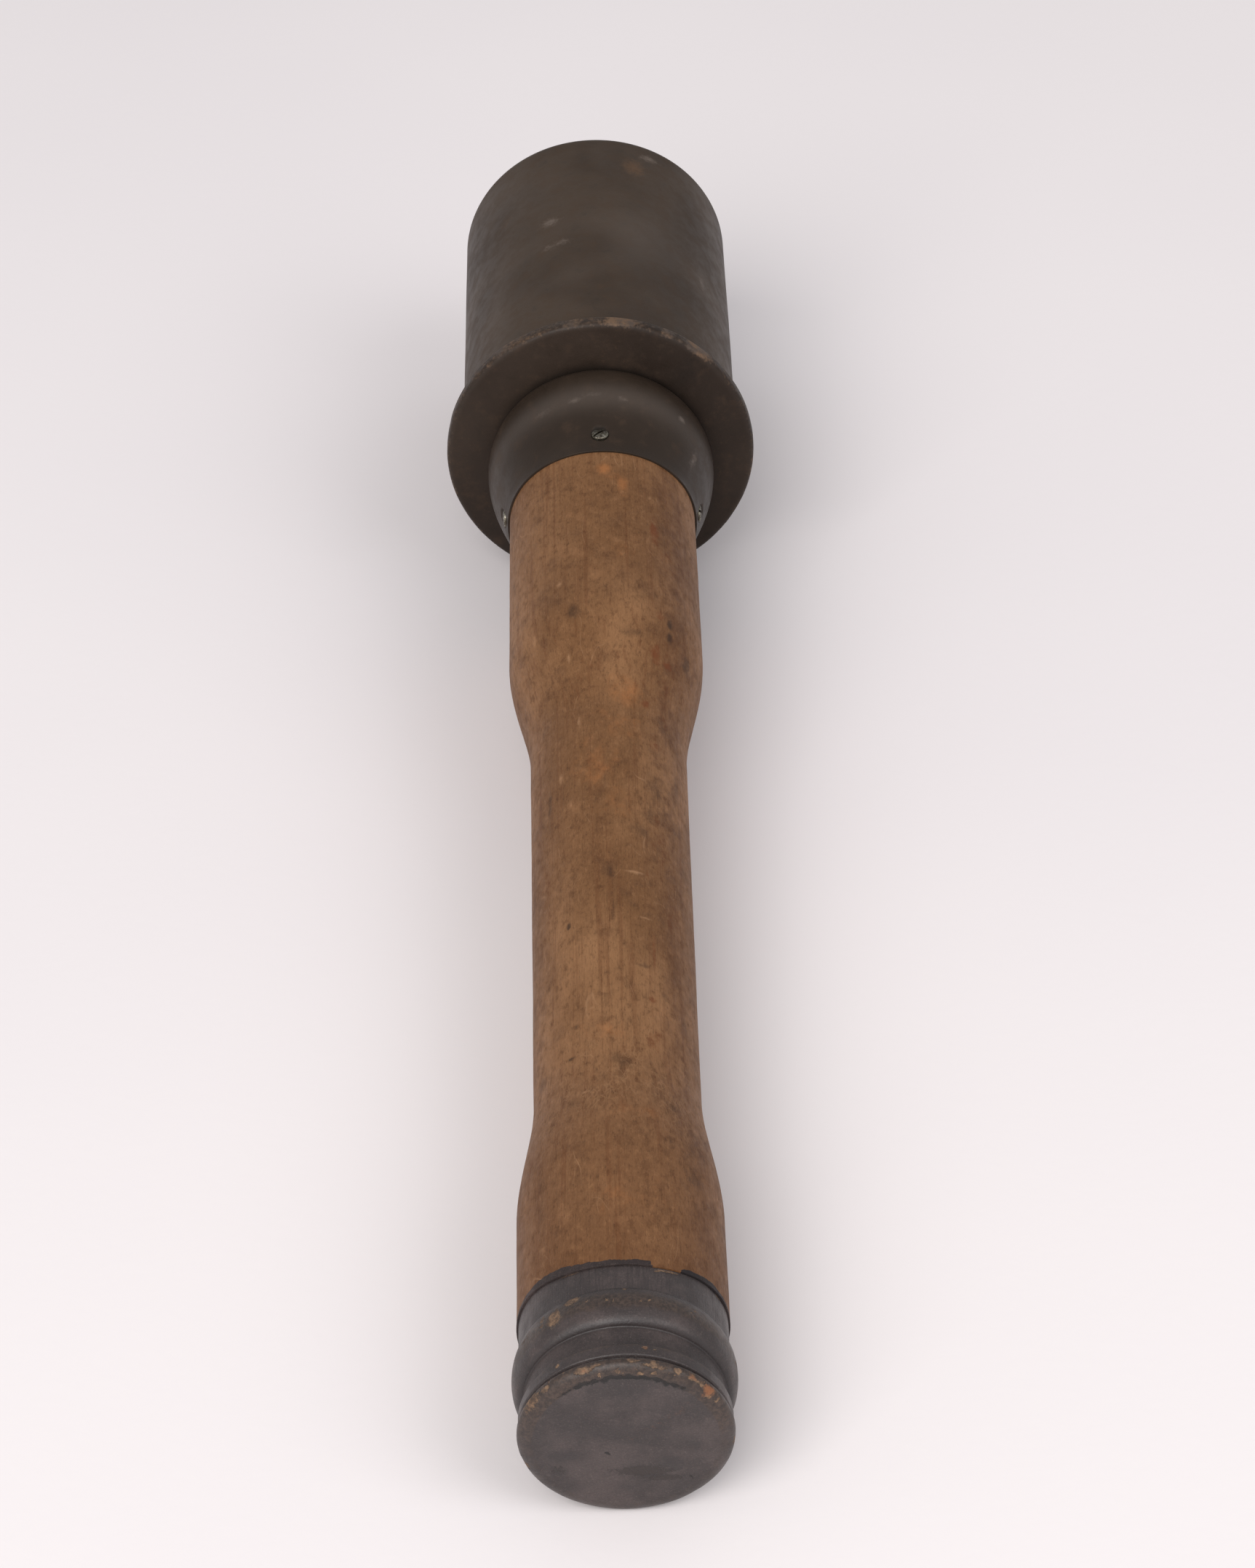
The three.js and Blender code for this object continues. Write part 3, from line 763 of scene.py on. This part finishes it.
# ---- collar, flange and head ----

SCREW_STATION = 267.4 * MM
SCREW_TOP = 20.9 * MM
SCREW_RADIUS = 1.8 * MM
MOUTH_SAG = 1.8 * MM
SCREW_NODES = sorted(name for name in frame["nodes"] if name.startswith("collar_screw"))
# The black layer carries painted shade, with a real smear on the flange; the last layer carries random paler
# tone and painted highlights.
METAL_LAYERS = ("scuff", "rust", "worn", "black", "tone_and_highlight")

COLLAR_SCUFFS = in_mm(
    (-13, 277, 1.6, 0.9, 0.7), (12, 277, 1.5, 0.9, 0.6), (-30, 276.5, 2, 1, 0.5),
    (47, 278.7, 1.0, 0.9, 1.0), (62, 272, 1.2, 3, 0.6), (-3, 278, 2.4, 0.8, 0.5),
)
HEAD_SCUFFS = in_mm(
    (-19.4, 341.6, 2.2, 1.8, 0.8), (-14.3, 331.8, 2.2, 1.6, 0.6), (-20, 331, 1.6, 1.4, 0.6),
    (25.5, 370.6, 2.4, 1.4, 0.8), (-52, 300, 1.2, 3.4, 0.6), (52, 330, 1.0, 4.0, 0.6),
)
HEAD_RUST = in_mm(
    (18, 364.5, 3.2, 4, 0.8), (-42, 352, 3, 3, 0.4), (-48, 298, 2, 2, 0.6),
)
# Painted highlights on the head, where it is drawn lighter: (degrees from the top, station, half width, half
# length, strength).
HEAD_PAINTED_HIGHLIGHTS = in_mm(
    (-48, 318, 4, 16, 1.0), (24, 335, 9, 14, 0.5), (-28, 356, 8, 8, 0.5),
)


def collar_relief(angle, station, radius):
    offset = 0.0
    for number in range(len(SCREW_NODES)):
        turn = (angle - 2 * math.pi * number / len(SCREW_NODES) + math.pi) % (2 * math.pi) - math.pi
        away = math.hypot(turn * radius, station - SCREW_STATION)
        sunk = 1 - min(1.0, max(0.0, (away - SCREW_RADIUS) / (0.3 * MM)))
        if radius > 19.5 * MM:
            offset = min(offset, -0.4 * MM * sunk * sunk * (3 - 2 * sunk))
    from_mouth = max(0.0, 1 - (station - COLLAR_START) / (4 * MM))
    lengthways = (MOUTH_SAG * math.sin(angle) ** 2 - 0.5 * MM) * from_mouth
    mouth = math.exp(-((station - COLLAR_START) / (0.45 * MM)) ** 2)
    seat = math.exp(-((FLANGE_START - station) / (3.2 * MM)) ** 2)
    # Painted highlight: a lighter band along the top of the collar's crest.
    tone_and_highlight = 0.4 * math.exp(-((station - 277.5 * MM) / (3.6 * MM)) ** 2) * max(0.0, math.cos(angle))
    scuff = marked(COLLAR_SCUFFS, angle, station, radius)
    # Painted shade: dark at the collar's mouth on the handle, against the flange, and in the recesses round
    # the screws.
    black = max(0.2 * mouth, 0.85 * seat, 0.75 if offset < -0.15 * MM else 0.0)
    return offset, lengthways, (scuff, 0.0, 0.0, black, tone_and_highlight)


def make_collar():
    mouth_radius = 19.85 * MM
    widest = 283 * MM
    foot_radius = 20.2 * MM
    bore = 19 * MM
    flare = []
    for i in range(1, 60):
        t = i / 60
        early = t ** 0.85
        eased = early * early * (3 - 2 * early)
        flare.append((mouth_radius + (COLLAR_RADIUS - mouth_radius) * eased,
                      COLLAR_START + (widest - COLLAR_START) * t))
    shoulder = []
    for i in range(31):
        t = math.pi / 2 * i / 30
        shoulder.append((COLLAR_RADIUS - (COLLAR_RADIUS - foot_radius) * (1 - math.cos(t)),
                         widest + (FLANGE_START - 0.02 * MM - widest) * math.sin(t)))
    outline = joined(
        rounded([
            (bore, COLLAR_END, 0), (bore, COLLAR_START, 0.1 * MM),
            (mouth_radius, COLLAR_START, 0.25 * MM), flare[0] + (0,),
        ]),
        flare,
        shoulder,
        [(bore, FLANGE_START - 0.02 * MM), (bore, COLLAR_END)],
    )
    collar = turned("neck_collar_sleeve", outline, COLLAR_SEGMENTS, collar_relief, METAL_LAYERS)
    material = olive_paint("collar_paint", linear(42, 33, 26), linear(53, 43, 35), 0.42, 0.16)
    finish_piece(collar, MAIN_BODY, "neck_collar", material)


FLANGE_EDGE = 291 * MM
FLANGE_WEAR = in_mm(
    (9, 291, 5.5, 3, 0.75), (41, 291, 4.5, 3, 0.85), (27, 291, 3, 3, 0.55), (-10, 291, 4, 3, 0.5),
    (-38, 291, 6, 3, 0.5), (96, 291, 8, 3, 0.5), (150, 291, 9, 3, 0.7), (-100, 291, 8, 3, 0.5),
    (-150, 291, 7, 3, 0.6),
)
FLANGE_SMEAR = in_mm((43, 291, 3.6, 9, 0.5))


def flange_relief(angle, station, radius):
    x, z = radius * math.sin(angle), radius * math.cos(angle)
    rim = math.exp(-((radius - FLANGE_RADIUS) / (0.9 * MM)) ** 2)
    patches = 0.5 + 0.5 * mottle(x, 0, z, 11 * MM, 6.2)
    worn = rim * max(0.3 + 0.25 * patches, marked(FLANGE_WEAR, angle, FLANGE_EDGE, radius) + 0.15 * patches)
    # Painted shade on the flange face round the collar, darkest next to it.
    groove = math.exp(-((radius - 20.8 * MM) / (2.4 * MM)) ** 2) if station < FLANGE_START + 0.2 * MM else 0.0
    dent = -0.14 * MM * rim * max(0.0, mottle(x, 0, z, 6 * MM, 8.8))
    smear = marked(FLANGE_SMEAR, angle, FLANGE_EDGE, radius) * (1 - rim)
    layers = (0.0, 0.25 * patches, worn, max(0.9 * groove, smear), 0.0)
    return dent, 0.05 * MM * mottle(x, 0, z, 9 * MM, 3.1), layers


def make_flange():
    bore = 12.3 * MM
    outline = rounded([
        (bore, FLANGE_END, 0), (bore, FLANGE_START, 0.1 * MM), (FLANGE_RADIUS, FLANGE_START, 1.9 * MM),
        (FLANGE_RADIUS, FLANGE_END, 0.5 * MM), (bore, FLANGE_END, 0),
    ])
    flange = turned("base_flange_plate", outline, HEAD_SEGMENTS, flange_relief, METAL_LAYERS)
    material = olive_paint("flange_paint", linear(40, 31, 25), linear(50, 40, 33), 0.5, 0.2)
    finish_piece(flange, MAIN_BODY, "base_flange", material)


def head_relief(angle, station, radius):
    x, z = radius * math.sin(angle), radius * math.cos(angle)
    scuff = marked(HEAD_SCUFFS, angle, station, radius)
    rust = marked(HEAD_RUST, angle, station, radius)
    # Painted shade in the corner where the head meets the flange.
    black = 0.5 * math.exp(-((station - HEAD_START) / (0.8 * MM)) ** 2)
    wobble = 0.07 * MM * mottle(x, station, z, 22 * MM, 5.5)
    # Random paler tone, plus painted highlights on parts of the head.
    tone_and_highlight = 0.3 * max(0.0, mottle(x, station, z, 15 * MM, 2.9))
    tone_and_highlight += 0.25 * marked(HEAD_PAINTED_HIGHLIGHTS, angle, station, radius)
    return wobble, 0.0, (scuff, rust, 0.0, black, tone_and_highlight)


def make_head():
    flat = 18 * MM
    depth = 5.7 * MM
    crown = []
    for i in range(41):
        t = math.pi / 2 * i / 40
        crown.append((HEAD_RADIUS - (HEAD_RADIUS - flat) * (1 - math.cos(t)),
                      HEAD_END - depth * (1 - math.sin(t))))
    outline = joined(
        rounded([(0, FLANGE_END, 0), (HEAD_RADIUS, FLANGE_END, 0.3 * MM), (HEAD_RADIUS, HEAD_END - depth, 0)],
                0.8 * MM),
        crown,
        line((flat, HEAD_END), (0, HEAD_END), 1 * MM),
    )
    head = turned("head_turning", outline, HEAD_SEGMENTS, head_relief, METAL_LAYERS)
    material = olive_paint("head_paint", linear(54, 43, 34), linear(66, 54, 44), 0.48, 0.13)
    finish_piece(head, MAIN_BODY, "head_block", material)


# ---- screws ----

def make_screw(number, node, material):
    """Slotted screw: a domed head with a cut slot, drawn along y and stood radially in the collar."""
    tip = 16 * MM
    seat = 19.1 * MM
    shank = 1.0 * MM
    head = rounded([
        (0, tip, 0), (shank, tip, 0.1 * MM), (shank, seat, 0.1 * MM), (SCREW_RADIUS, seat, 0.1 * MM),
        (SCREW_RADIUS, SCREW_TOP - 0.3 * MM, 0.25 * MM), (shank, SCREW_TOP - 0.06 * MM, 0.5 * MM),
        (0, SCREW_TOP, 0),
    ], 0.2 * MM)
    screw = turned(f"{node}_cut", head, SCREW_SEGMENTS)
    cutter = bpy.data.meshes.new("slot_cutter")
    bm = bmesh.new()
    bmesh.ops.create_cube(bm, size=1.0)
    bmesh.ops.scale(bm, vec=(6 * MM, 1.2 * MM, 0.55 * MM), verts=bm.verts)
    bmesh.ops.rotate(bm, cent=(0, 0, 0), matrix=Matrix.Rotation(0.7, 3, "Y"), verts=bm.verts)
    bmesh.ops.translate(bm, vec=(0, SCREW_TOP, 0), verts=bm.verts)
    bm.to_mesh(cutter)
    bm.free()
    slot = bpy.data.objects.new("slot_cutter", cutter)
    bpy.context.scene.collection.objects.link(slot)
    slot.matrix_world = screw.matrix_world
    cut = screw.modifiers.new("slot", "BOOLEAN")
    cut.operation = "DIFFERENCE"
    cut.solver = "EXACT"
    cut.object = slot
    bpy.context.view_layer.update()
    evaluated = screw.evaluated_get(bpy.context.evaluated_depsgraph_get())
    screw.data = bpy.data.meshes.new_from_object(evaluated)
    screw.modifiers.clear()
    bpy.data.objects.remove(slot)
    turn = Matrix.Rotation(2 * math.pi * number / len(SCREW_NODES), 4, "Y")
    stand = Matrix.Rotation(math.pi / 2, 4, "X")
    screw.matrix_world = AXIS_FRAME @ Matrix.Translation((0, SCREW_STATION, 0)) @ turn @ stand
    for polygon in screw.data.polygons:
        polygon.use_smooth = False
    finish_piece(screw, MAIN_BODY, node, material)


# ---- stage ----

FLOOR_COLOUR = linear(232, 226, 227)
FLOOR_PALE = linear(236, 230, 230)
FLOOR_ROUGHNESS = 0.75
FLOOR_SIZE = 6
WORLD_COLOUR = (0.9, 0.9, 0.92, 1)
WORLD_STRENGTH = 0.55
# Each light: name, place, size, power in watts, colour.
LIGHTS = [
    ("key", (-0.9, -2.0, 1.7), (1.8, 1.8), 60, (1.0, 0.98, 0.965)),
    ("fill", (1.4, -1.3, 1.7), (1.5, 1.5), 20, (0.98, 0.985, 1.0)),
]
CAMERA_BEHIND_FOOT = 0.4939
CAMERA_ABOVE_AXIS = 0.5157
CAMERA_TILT = math.radians(37.64)
CAMERA_YAW = math.radians(-0.304)
CAMERA_ROLL = math.radians(-1.3165)
CAMERA_LENS = 100.17


def make_camera():
    camera = bpy.data.objects.new("camera", bpy.data.cameras.new("camera"))
    bpy.context.scene.collection.objects.link(camera)
    camera.data.lens = CAMERA_LENS
    camera.data.clip_start = 0.01
    camera.data.clip_end = 50
    place = Matrix.Translation((0, -CAMERA_BEHIND_FOOT, CAMERA_ABOVE_AXIS))
    yaw = Matrix.Rotation(CAMERA_YAW, 4, "Z")
    tilt = Matrix.Rotation(math.pi / 2 - CAMERA_TILT, 4, "X")
    roll = Matrix.Rotation(CAMERA_ROLL, 4, "Z")
    camera.matrix_world = AXIS_FRAME @ place @ yaw @ tilt @ roll
    bpy.context.scene.camera = camera


def make_floor():
    mesh = bpy.data.meshes.new("floor")
    bm = bmesh.new()
    bmesh.ops.create_grid(bm, x_segments=2, y_segments=2, size=FLOOR_SIZE)
    bm.to_mesh(mesh)
    bm.free()
    floor = bpy.data.objects.new("floor", mesh)
    bpy.context.scene.collection.objects.link(floor)
    g = Graph("floor_paint")
    colour = g.mix(g.step(g.noise(0.4, 3), 0.3, 0.7), FLOOR_COLOUR, FLOOR_PALE)
    floor.data.materials.append(g.done(colour, FLOOR_ROUGHNESS, g.bump(g.noise(3 * MM, 4), 0.1 * MM, 0.3)))


def make_light(name, place, size, power, colour):
    lamp = bpy.data.objects.new(name, bpy.data.lights.new(name, "AREA"))
    bpy.context.scene.collection.objects.link(lamp)
    lamp.data.shape = "RECTANGLE"
    lamp.data.size, lamp.data.size_y = size
    lamp.data.energy = power
    lamp.data.color = colour
    lamp.location = place
    lamp.rotation_euler = (Vector((0, 0, 0)) - Vector(place)).to_track_quat("-Z", "Y").to_euler()


def make_stage():
    make_camera()
    make_floor()
    for light in LIGHTS:
        make_light(*light)
    world = bpy.data.worlds.new("studio")
    world.use_nodes = True
    world.node_tree.nodes["Background"].inputs["Color"].default_value = WORLD_COLOUR
    world.node_tree.nodes["Background"].inputs["Strength"].default_value = WORLD_STRENGTH
    bpy.context.scene.world = world
    bpy.context.scene.view_settings.view_transform = "Standard"


make_stage()
make_foot()
make_handle()
make_collar()
make_flange()
make_head()
screw_finish = screw_material()
for index, screw_node in enumerate(SCREW_NODES):
    make_screw(index, screw_node, screw_finish)

bpy.context.view_layer.update()
